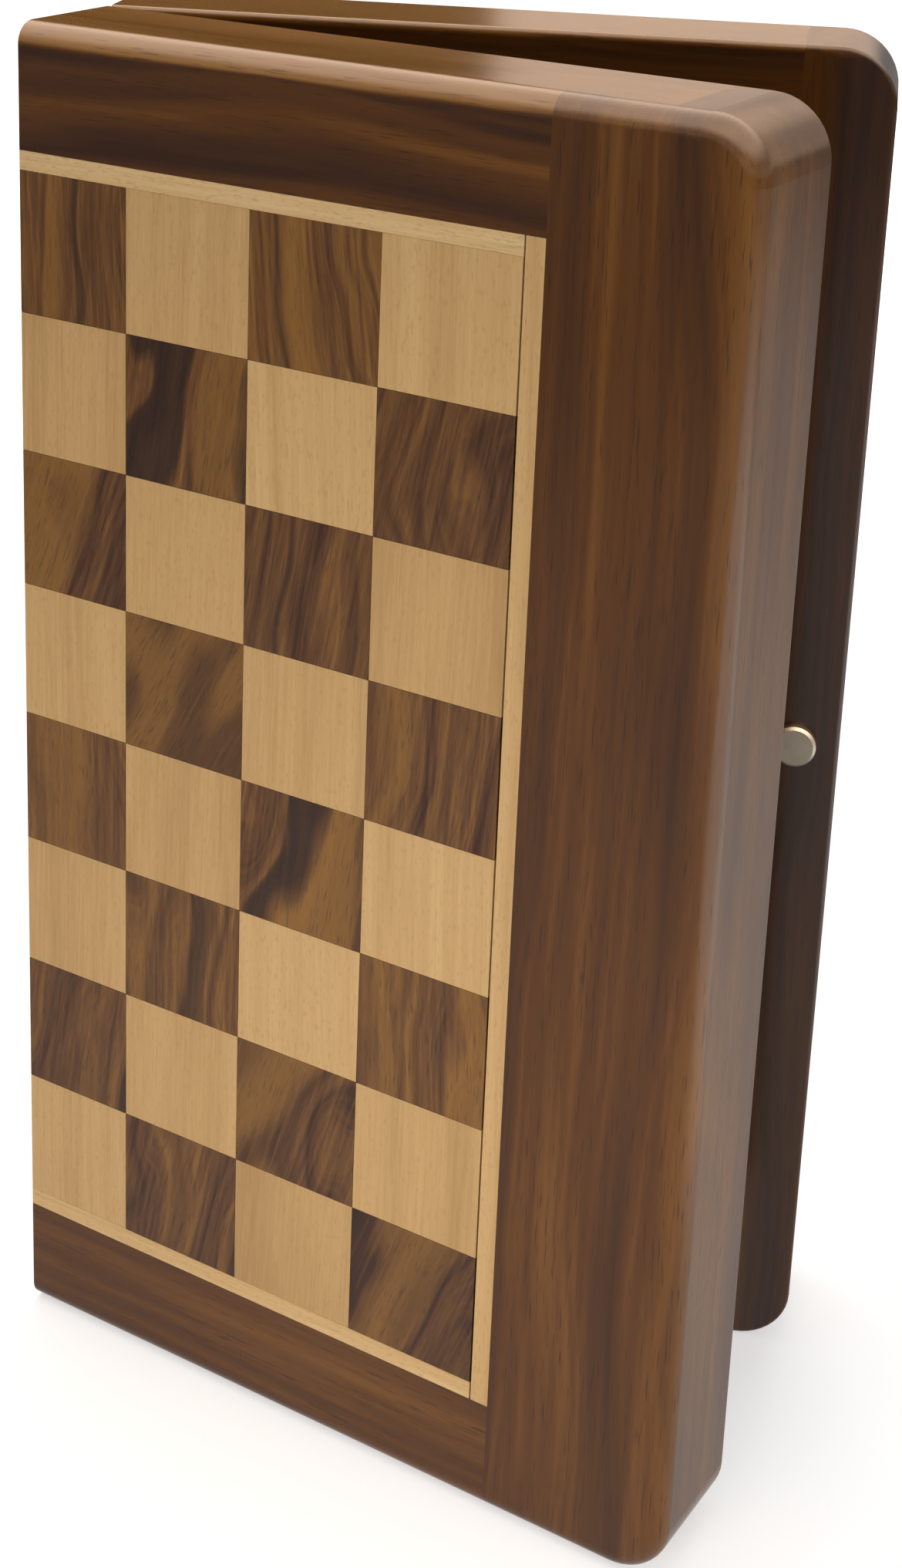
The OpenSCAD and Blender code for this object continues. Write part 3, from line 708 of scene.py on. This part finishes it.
def worked_metal(name, metal_colour, roughness, along, across, depth_mm):
    """Metal with marks from its making, which stretch its highlights a little: along and
    across are the marks' length and width in millimetres."""
    material, tree = new_material(name)
    where = node(tree, "ShaderNodeTexCoord").outputs["Object"]
    marks = node(
        tree, "ShaderNodeTexNoise",
        {
            "Vector": stretched(tree, where, across * MM, along * MM),
            "Scale": 1, "Detail": 3, "Roughness": 0.6,
        },
    ).outputs[0]
    size = HANDLING_MARK * MM
    handling = node(
        tree, "ShaderNodeTexNoise",
        {"Vector": stretched(tree, where, size, size), "Scale": 1, "Detail": 2},
    ).outputs[0]
    share = node(
        tree, "ShaderNodeMapRange",
        {"Value": handling, "From Min": 0.4, "From Max": 0.7, "To Max": 0.6},
    ).outputs[0]
    base = mix_colour(tree, share, list(metal_colour), shaded(metal_colour, 0.8))
    bump = node(
        tree, "ShaderNodeBump", {"Height": marks, "Strength": 0.4, "Distance": depth_mm * MM}
    ).outputs[0]
    gloss = sum_of(tree, [(marks, 0.12), (handling, 0.15)], roughness - 0.12)
    shader = node(
        tree, "ShaderNodeBsdfPrincipled",
        {"Base Color": base, "Metallic": 1.0, "Roughness": gloss, "Normal": bump},
    )
    close_material(tree, shader)
    return material


def foam_material(name):
    """Die-cut polyethylene foam: nearly black, dull, with small closed cells on cut faces."""
    tray = bpy.context.scene.chess_tray
    material, tree = new_material(name)
    where = node(tree, "ShaderNodeTexCoord").outputs["Object"]
    pores = node(
        tree, "ShaderNodeTexVoronoi",
        {"Vector": where, "Scale": 1 / tray.foam_cell, "Randomness": 1.0},
    ).outputs["Distance"]
    size = FOAM_CLOUD * MM
    cloud = node(
        tree, "ShaderNodeTexNoise",
        {"Vector": stretched(tree, where, size, size), "Scale": 1, "Detail": 3},
    ).outputs[0]
    tone = sum_of(tree, [(pores, 0.6), (cloud, 0.5)], -0.1)
    base = mix_colour(tree, tone, list(tray.foam), shaded(tray.foam, 2.2, 0.01))
    bump = node(
        tree, "ShaderNodeBump", {"Height": pores, "Strength": 0.6, "Distance": 0.12 * MM}
    ).outputs[0]
    shader = node(
        tree, "ShaderNodeBsdfPrincipled",
        {
            "Base Color": base, "Roughness": 0.85, "Specular IOR Level": 0.25,
            "Sheen Weight": 0.15, "Sheen Roughness": 0.5, "Normal": bump,
        },
    )
    close_material(tree, shader)
    return material


def felt_material(name):
    """Pressed wool felt: deep green, with crossing fibres and a soft pale fuzz at the edge."""
    tray = bpy.context.scene.chess_tray
    material, tree = new_material(name)
    where = node(tree, "ShaderNodeTexCoord").outputs["Object"]
    fibres = node(
        tree, "ShaderNodeTexNoise",
        {
            "Vector": stretched(tree, where, tray.felt_fibre, tray.felt_fibre),
            "Scale": 1, "Detail": 4, "Roughness": 0.7, "Distortion": 1.5,
        },
    ).outputs[0]
    base = mix_colour(tree, fibres, list(tray.felt), shaded(tray.felt, 1.7, 0.01))
    bump = node(
        tree, "ShaderNodeBump", {"Height": fibres, "Strength": 0.8, "Distance": 0.2 * MM}
    ).outputs[0]
    shader = node(
        tree, "ShaderNodeBsdfPrincipled",
        {
            "Base Color": base, "Roughness": 0.95, "Specular IOR Level": 0.2,
            "Sheen Weight": 0.4, "Sheen Roughness": 0.6, "Normal": bump,
        },
    )
    close_material(tree, shader)
    return material


def plywood_material(name, half):
    """Thin plywood, sanded and left bare: upright face grain over crossed layers."""
    tray = bpy.context.scene.chess_tray
    material, tree = new_material(name)
    point = half_coordinates(tree, half)
    grain = node(
        tree, "ShaderNodeTexNoise",
        {"Vector": stretched(tree, point, *PLYWOOD_GRAIN), "Scale": 1, "Detail": 4},
    ).outputs[0]
    layers = node(
        tree, "ShaderNodeTexNoise",
        {"Vector": stretched(tree, point, *PLYWOOD_LAYER), "Scale": 1, "Detail": 1},
    ).outputs[0]
    tone = sum_of(tree, [(grain, 0.7), (layers, 0.4)], -0.1)
    base = mix_colour(tree, tone, list(tray.plywood_core), list(tray.plywood))
    lacquered(tree, base, grain, roughness=0.6, depth_mm=0.05)
    return material


def finish_node(name, material):
    """Gives a part of the frame its material."""
    slots = frame["nodes"][name].data.materials
    slots.clear()
    slots.append(material)


def soft_copy(node_name, piece_name, edge, material):
    """A copy of a soft part with its cut edges rounded, which stands for the part."""
    source = frame["nodes"][node_name]
    mesh = source.data.copy()
    mesh.name = piece_name
    shape = bmesh.new()
    shape.from_mesh(mesh)
    bmesh.ops.remove_doubles(shape, verts=shape.verts, dist=WELD)
    bmesh.ops.dissolve_limit(shape, angle_limit=FLAT, verts=shape.verts, edges=shape.edges)
    sharp = [e for e in shape.edges if e.is_manifold and e.calc_face_angle() > SHARP]
    bmesh.ops.bevel(
        shape, geom=sharp, offset=edge, segments=3, profile=0.5, affect="EDGES",
        clamp_overlap=True,
    )
    bmesh.ops.triangulate(shape, faces=[f for f in shape.faces if len(f.verts) > 4])
    for face in shape.faces:
        face.smooth = True
    shape.to_mesh(mesh)
    shape.free()
    piece = bpy.data.objects.new(piece_name, mesh)
    bpy.context.scene.collection.objects.link(piece)
    mesh.materials.clear()
    mesh.materials.append(material)
    smooth = piece.modifiers.new("edge_shading", "WEIGHTED_NORMAL")
    smooth.keep_sharp = True
    body = source["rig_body"]
    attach(piece, body)
    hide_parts(node_name)
    return piece


def board_cells():
    """Corner and pitch of a half's squares, in millimetres in the half's own frame."""
    wood = bpy.context.scene.chess_wood
    low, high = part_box("front_light_squares")
    dark_low, dark_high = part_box("front_dark_squares")
    bottom = min(low.z, dark_low.z)
    top = max(high.z, dark_high.z)
    outer = max(high.x, dark_high.x)
    pitch = (top - bottom + wood.saw_gap) / RANKS
    first = outer - AXIS_X - FILES_OF_HALF * pitch + wood.saw_gap / 2
    origin = Vector((first, -UNCUT * MM / 2, bottom - wood.saw_gap / 2)) / MM
    return origin, (pitch / MM, UNCUT, pitch / MM)


class CHESS_OT_frame(bpy.types.Operator):
    """Finishes the stiles, rails and fold walls in lacquered rosewood"""

    bl_idname = "chess.frame"
    bl_label = "Rosewood Frame"

    def execute(self, context):
        seed = FRAME_SEED
        for half, tone, growth, reach in HALF_WOOD:
            for part, level, shade, top_light in FRAME_PARTS:
                name = f"{half}_{part}"
                wood = rosewood_frame(
                    f"rosewood_{name}", half, level, seed, shade + tone, top_light + growth, reach
                )
                finish_node(name, wood)
                seed += 1
        return {"FINISHED"}


class CHESS_OT_squares(bpy.types.Operator):
    """Finishes the dark squares in figured rosewood and the light squares in maple"""

    bl_idname = "chess.squares"
    bl_label = "Board Squares"

    def execute(self, context):
        origin, pitch = board_cells()
        for half in HALVES:
            dark = rosewood_squares(f"rosewood_{half}_squares", half, origin, pitch)
            finish_node(f"{half}_dark_squares", dark)
            light = maple(f"maple_{half}_squares", half, origin, pitch)
            finish_node(f"{half}_light_squares", light)
        return {"FINISHED"}


class CHESS_OT_strips(bpy.types.Operator):
    """Finishes the maple strips that border the squares"""

    bl_idname = "chess.strips"
    bl_label = "Maple Strips"

    def execute(self, context):
        pitch = (STRIP_CELL, STRIP_CELL, STRIP_CELL)
        start = -STRIP_CELL / 2
        for number, half in enumerate(HALVES):
            origin = Vector((start - STRIP_SHIFT * number, start, start))
            for part, level, paleness in STRIP_PARTS:
                name = f"{half}_{part}_strip"
                wood = maple(f"maple_{name}", half, origin, pitch, level, paleness)
                finish_node(name, wood)
        return {"FINISHED"}


class CHESS_OT_floors(bpy.types.Operator):
    """Finishes the plywood panels and the steel sheets under the squares"""

    bl_idname = "chess.floors"
    bl_label = "Panels and Steel Sheets"

    def execute(self, context):
        metal = context.scene.chess_metal
        sheet = worked_metal(
            "steel_cold_rolled", metal.steel, roughness=0.4, along=30, across=0.3, depth_mm=0.01
        )
        for half in HALVES:
            finish_node(f"{half}_base_panel", plywood_material(f"plywood_{half}", half))
            finish_node(f"{half}_steel_sheet", sheet)
        return {"FINISHED"}


class CHESS_OT_foam(bpy.types.Operator):
    """Builds the die-cut foam inserts that hold the men"""

    bl_idname = "chess.foam"
    bl_label = "Foam Inserts"

    def execute(self, context):
        tray = context.scene.chess_tray
        material = foam_material("foam_die_cut")
        for half in HALVES:
            name = f"{half}_foam_insert"
            piece = soft_copy(name, f"{half}_foam_pad", tray.foam_edge, material)
        return {"FINISHED"}


class CHESS_OT_closure(bpy.types.Operator):
    """Finishes the closing stud and the magnet that holds it"""

    bl_idname = "chess.closure"
    bl_label = "Closing Stud and Magnet"

    def execute(self, context):
        metal = context.scene.chess_metal
        width = metal.scratch_width / MM
        stud = worked_metal(
            "nickel_satin", metal.nickel, roughness=0.42, along=0.6, across=width, depth_mm=0.02
        )
        finish_node("closing_stud", stud)
        magnet = worked_metal(
            "magnet_nickel_plated", metal.magnet, roughness=0.3, along=2, across=width,
            depth_mm=0.01,
        )
        finish_node("closing_magnet", magnet)
        return {"FINISHED"}


class CHESS_OT_hinges(bpy.types.Operator):
    """Finishes the hinge leaves, pins and screws in brass"""

    bl_idname = "chess.hinges"
    bl_label = "Brass Hinges"

    def execute(self, context):
        metal = context.scene.chess_metal
        width = metal.scratch_width / MM
        leaf = worked_metal(
            "brass_rolled", metal.brass, roughness=0.32, along=8, across=width, depth_mm=0.02
        )
        pin = worked_metal(
            "brass_drawn", metal.brass, roughness=0.26, along=5, across=width, depth_mm=0.01
        )
        screw = worked_metal(
            "brass_turned", metal.brass, roughness=0.3, along=0.4, across=width, depth_mm=0.02
        )
        for height in ("upper", "lower"):
            for half in HALVES:
                finish_node(f"{height}_hinge_{half}_leaf", leaf)
            finish_node(f"{height}_hinge_pin", pin)
        for half in HALVES:
            finish_node(f"{half}_hinge_screws", screw)
        return {"FINISHED"}


class CHESS_OT_men(bpy.types.Operator):
    """Finishes the boxwood and rosewood chessmen and the magnets in their bases"""

    bl_idname = "chess.men"
    bl_label = "Chessmen"

    def execute(self, context):
        wood = context.scene.chess_wood
        metal = context.scene.chess_metal
        low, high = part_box("front_foam_insert")
        row = (high.z - low.z) / RANKS / MM
        middle = (low.x + high.x) / 2 - AXIS_X
        origin = Vector((middle / MM - UNCUT, -UNCUT / 2, low.z / MM))
        pitch = (UNCUT, UNCUT, row)
        sides = (
            ("front", "light", "boxwood_turned", wood.boxwood_light, wood.boxwood_dark),
            ("rear", "dark", "rosewood_turned", wood.frame_mid, wood.frame_dark),
        )
        magnet = worked_metal(
            "magnet_nickel_disc", metal.magnet, roughness=0.28, along=2,
            across=metal.scratch_width / MM, depth_mm=0.01,
        )
        for half, side, name, light, dark in sides:
            material = turned_wood(name, half, origin, pitch, light, dark)
            for man in MEN:
                finish_node(f"{side}_{man}", material)
            finish_node(f"{side}_magnets", magnet)
        return {"FINISHED"}


class CHESS_OT_felts(bpy.types.Operator):
    """Builds the felt discs under the men"""

    bl_idname = "chess.felts"
    bl_label = "Felt Discs"

    def execute(self, context):
        tray = context.scene.chess_tray
        material = felt_material("felt_wool")
        for side in ("light", "dark"):
            soft_copy(f"{side}_felts", f"{side}_felt_discs", tray.felt_edge, material)
        return {"FINISHED"}


def mirror_share(tree):
    """1 for a ray that shows the room in gloss or through glass."""
    path = node(tree, "ShaderNodeLightPath").outputs
    return node(
        tree, "ShaderNodeMath", {0: path["Is Glossy Ray"], 1: path["Is Transmission Ray"]},
        operation="MAXIMUM",
    ).outputs[0]


def floor_material(name):
    """Matt white board: the seen floor is white, and only the set's shadow darkens it. Gloss
    sees a painted pool of light on it at the right of the set, dimmer farther off, which no
    lamp casts."""
    studio = bpy.context.scene.chess_studio
    material, tree = new_material(name)
    where = node(tree, "ShaderNodeTexCoord").outputs["Object"]
    tooth = node(
        tree, "ShaderNodeTexNoise", {"Vector": where, "Scale": FLOOR_TOOTH, "Detail": 2}
    ).outputs[0]
    bump = node(
        tree, "ShaderNodeBump", {"Height": tooth, "Strength": 0.1, "Distance": 0.05 * MM}
    ).outputs[0]
    matt = node(
        tree, "ShaderNodeBsdfDiffuse", {"Color": list(studio.floor), "Normal": bump}
    ).outputs[0]
    path = node(tree, "ShaderNodeLightPath").outputs
    off_centre = node(
        tree, "ShaderNodeVectorMath", {0: where}, operation="LENGTH"
    ).outputs["Value"]
    glow_level = node(
        tree, "ShaderNodeMapRange",
        {"Value": off_centre, "From Min": studio.near_floor, "From Max": studio.far_floor,
         "To Min": studio.floor_glow[0], "To Max": studio.floor_glow[1]},
        interpolation_type="SMOOTHSTEP",
    ).outputs[0]
    strength = node(
        tree, "ShaderNodeMath", {0: glow_level, 1: path["Is Camera Ray"]}, operation="MULTIPLY"
    ).outputs[0]
    glow = node(
        tree, "ShaderNodeEmission", {"Color": linear("#FFFFFF"), "Strength": strength}
    ).outputs[0]
    seen = node(tree, "ShaderNodeAddShader", {0: matt, 1: glow}).outputs[0]
    # Painted reflection: gloss sees a pool of light painted on the floor, which lights nothing
    off_pool = node(
        tree, "ShaderNodeVectorMath", {0: where, 1: studio.pool_place}, operation="DISTANCE"
    ).outputs["Value"]
    share = sum_of(tree, [(off_pool, 1 / studio.pool_reach)])
    stops = [(position, linear(shade)) for position, shade in POOL_COLOURS]
    stops.append((POOL_END, shaded(studio.horizon, 1 / studio.pool_level)))
    pool = node(tree, "ShaderNodeValToRGB", {0: share}, stops).outputs[0]
    mirrored = node(
        tree, "ShaderNodeEmission", {"Color": pool, "Strength": studio.pool_level}
    ).outputs[0]
    shader = node(
        tree, "ShaderNodeMixShader", {0: mirror_share(tree), 1: seen, 2: mirrored}
    )
    close_material(tree, shader)
    return material


class CHESS_OT_stage(bpy.types.Operator):
    """Builds the pale floor, the room with its even light, the soft lamps and the camera"""

    bl_idname = "chess.stage"
    bl_label = "Studio"

    def execute(self, context):
        scene = context.scene
        studio = scene.chess_studio
        low, high = cad_box
        middle = (low + high) / 2
        self.add_floor(scene, studio)
        self.light_room(scene, studio)
        foot = Vector((middle.x, middle.y, low.z))
        for name, target in (
            ("overhead", middle), ("front", foot), ("side", middle), ("back", middle),
        ):
            self.add_lamp(scene, studio, name, middle, target)
        self.add_camera(scene, studio)
        scene.view_settings.view_transform = "Standard"
        return {"FINISHED"}

    def add_floor(self, scene, studio):
        shape = bmesh.new()
        bmesh.ops.create_grid(shape, x_segments=1, y_segments=1, size=studio.floor_size / 2)
        mesh = bpy.data.meshes.new("floor")
        shape.to_mesh(mesh)
        shape.free()
        mesh.materials.append(floor_material("board_white_matt"))
        floor = bpy.data.objects.new("floor", mesh)
        scene.collection.objects.link(floor)

    def light_room(self, scene, studio):
        """Even light all round. What shows is white, and gloss sees a painted reflection of a
        warm pale wall, its darker foot at the horizon, a dim curtain behind the set and a bright
        ceiling, which light nothing."""
        world = bpy.data.worlds.new("pale_room")
        world.use_nodes = True
        tree = world.node_tree
        tree.nodes.clear()
        towards = node(tree, "ShaderNodeTexCoord").outputs["Generated"]
        inside = 1
        for angle, side in ((studio.curtain_right, -1), (studio.curtain_left, 1)):
            edge = (side * math.cos(angle), side * math.sin(angle), 0)
            reach = node(
                tree, "ShaderNodeVectorMath", {0: towards, 1: edge}, operation="DOT_PRODUCT"
            ).outputs["Value"]
            past = node(
                tree, "ShaderNodeMapRange",
                {"Value": reach, "From Min": -CURTAIN_FADE, "From Max": CURTAIN_FADE},
            ).outputs[0]
            inside = node(
                tree, "ShaderNodeMath", {0: past, 1: inside}, operation="MULTIPLY"
            ).outputs[0]
        height = node(tree, "ShaderNodeSeparateXYZ", {0: towards}).outputs[2]
        above_foot = node(
            tree, "ShaderNodeMapRange",
            {"Value": height, "From Min": WALL_FOOT[0], "From Max": WALL_FOOT[1]},
            interpolation_type="SMOOTHSTEP",
        ).outputs[0]
        below_top = node(
            tree, "ShaderNodeMapRange",
            {"Value": height, "From Min": CURTAIN_TOP[0], "From Max": CURTAIN_TOP[1],
             "To Min": 1, "To Max": 0},
            interpolation_type="SMOOTHSTEP",
        ).outputs[0]
        hung = node(
            tree, "ShaderNodeMath", {0: inside, 1: below_top}, operation="MULTIPLY"
        ).outputs[0]
        wall = mix_colour(tree, above_foot, list(studio.horizon), list(studio.wall))
        dressed = mix_colour(tree, hung, wall, list(studio.curtain))
        # The bright ceiling is a painted highlight: it lights nothing and shows only in gloss
        overhead = node(
            tree, "ShaderNodeMapRange",
            {"Value": height, "From Min": CEILING_EDGE[0], "From Max": CEILING_EDGE[1],
             "To Max": studio.ceiling - 1},
            interpolation_type="SMOOTHSTEP",
        ).outputs[0]
        in_gloss = mirror_share(tree)
        room = mix_colour(tree, in_gloss, linear("#FFFFFF"), dressed)
        lift = node(
            tree, "ShaderNodeMath", {0: overhead, 1: in_gloss, 2: 1}, operation="MULTIPLY_ADD"
        ).outputs[0]
        shown = node(tree, "ShaderNodeBackground", {"Color": room, "Strength": lift}).outputs[0]
        light = node(
            tree, "ShaderNodeBackground",
            {"Color": linear("#FFFFFF"), "Strength": studio.room_light},
        ).outputs[0]
        path = node(tree, "ShaderNodeLightPath").outputs
        seen = node(
            tree, "ShaderNodeMath", {0: path["Is Camera Ray"], 1: mirror_share(tree)},
            operation="MAXIMUM",
        ).outputs[0]
        sky = node(tree, "ShaderNodeMixShader", {0: seen, 1: light, 2: shown}).outputs[0]
        node(tree, "ShaderNodeOutputWorld", {"Surface": sky})
        scene.world = world

    def add_lamp(self, scene, studio, name, middle, target):
        """A square soft lamp that faces its target."""
        lamp = bpy.data.lights.new(name, "AREA")
        lamp.size = getattr(studio, f"{name}_size")
        lamp.energy = getattr(studio, f"{name}_power")
        stand = bpy.data.objects.new(name, lamp)
        stand.visible_camera = stand.visible_glossy = False
        scene.collection.objects.link(stand)
        stand.location = middle + Vector(getattr(studio, f"{name}_place"))
        stand.rotation_euler = (target - stand.location).to_track_quat("-Z", "Y").to_euler()

    def add_camera(self, scene, studio):
        camera = bpy.data.cameras.new("camera")
        camera.lens = studio.lens
        camera.sensor_width = FILM_WIDTH
        camera.shift_x, camera.shift_y = studio.shift
        camera.clip_start = NEAREST
        camera.clip_end = FARTHEST
        seat = bpy.data.objects.new("camera", camera)
        seat.location = studio.camera_place
        seat.rotation_euler = studio.camera_turn
        scene.collection.objects.link(seat)
        scene.camera = seat


OPERATORS = (
    CHESS_OT_frame,
    CHESS_OT_squares,
    CHESS_OT_strips,
    CHESS_OT_floors,
    CHESS_OT_foam,
    CHESS_OT_closure,
    CHESS_OT_hinges,
    CHESS_OT_men,
    CHESS_OT_felts,
    CHESS_OT_stage,
)


class CHESS_PT_looks(bpy.types.Panel):
    """Lists the steps that dress the chess set"""

    bl_idname = "CHESS_PT_looks"
    bl_label = "Travel Chess Set"
    bl_space_type = "VIEW_3D"
    bl_region_type = "UI"
    bl_category = "Chess Set"

    def draw(self, context):
        for operator in OPERATORS:
            self.layout.operator(operator.bl_idname)
        for name, group in SETTINGS.items():
            box = self.layout.box()
            settings = getattr(context.scene, name)
            for field in group.__annotations__:
                box.prop(settings, field)


def register():
    for name, group in SETTINGS.items():
        bpy.utils.register_class(group)
        setattr(bpy.types.Scene, name, bpy.props.PointerProperty(type=group))
    for operator in OPERATORS:
        bpy.utils.register_class(operator)
    bpy.utils.register_class(CHESS_PT_looks)


def unregister():
    bpy.utils.unregister_class(CHESS_PT_looks)
    for operator in reversed(OPERATORS):
        bpy.utils.unregister_class(operator)
    for name, group in reversed(SETTINGS.items()):
        delattr(bpy.types.Scene, name)
        bpy.utils.unregister_class(group)


def main():
    register()
    for operator in OPERATORS:
        group, name = operator.bl_idname.split(".")
        getattr(getattr(bpy.ops, group), name)()


if __name__ == "__main__":
    main()
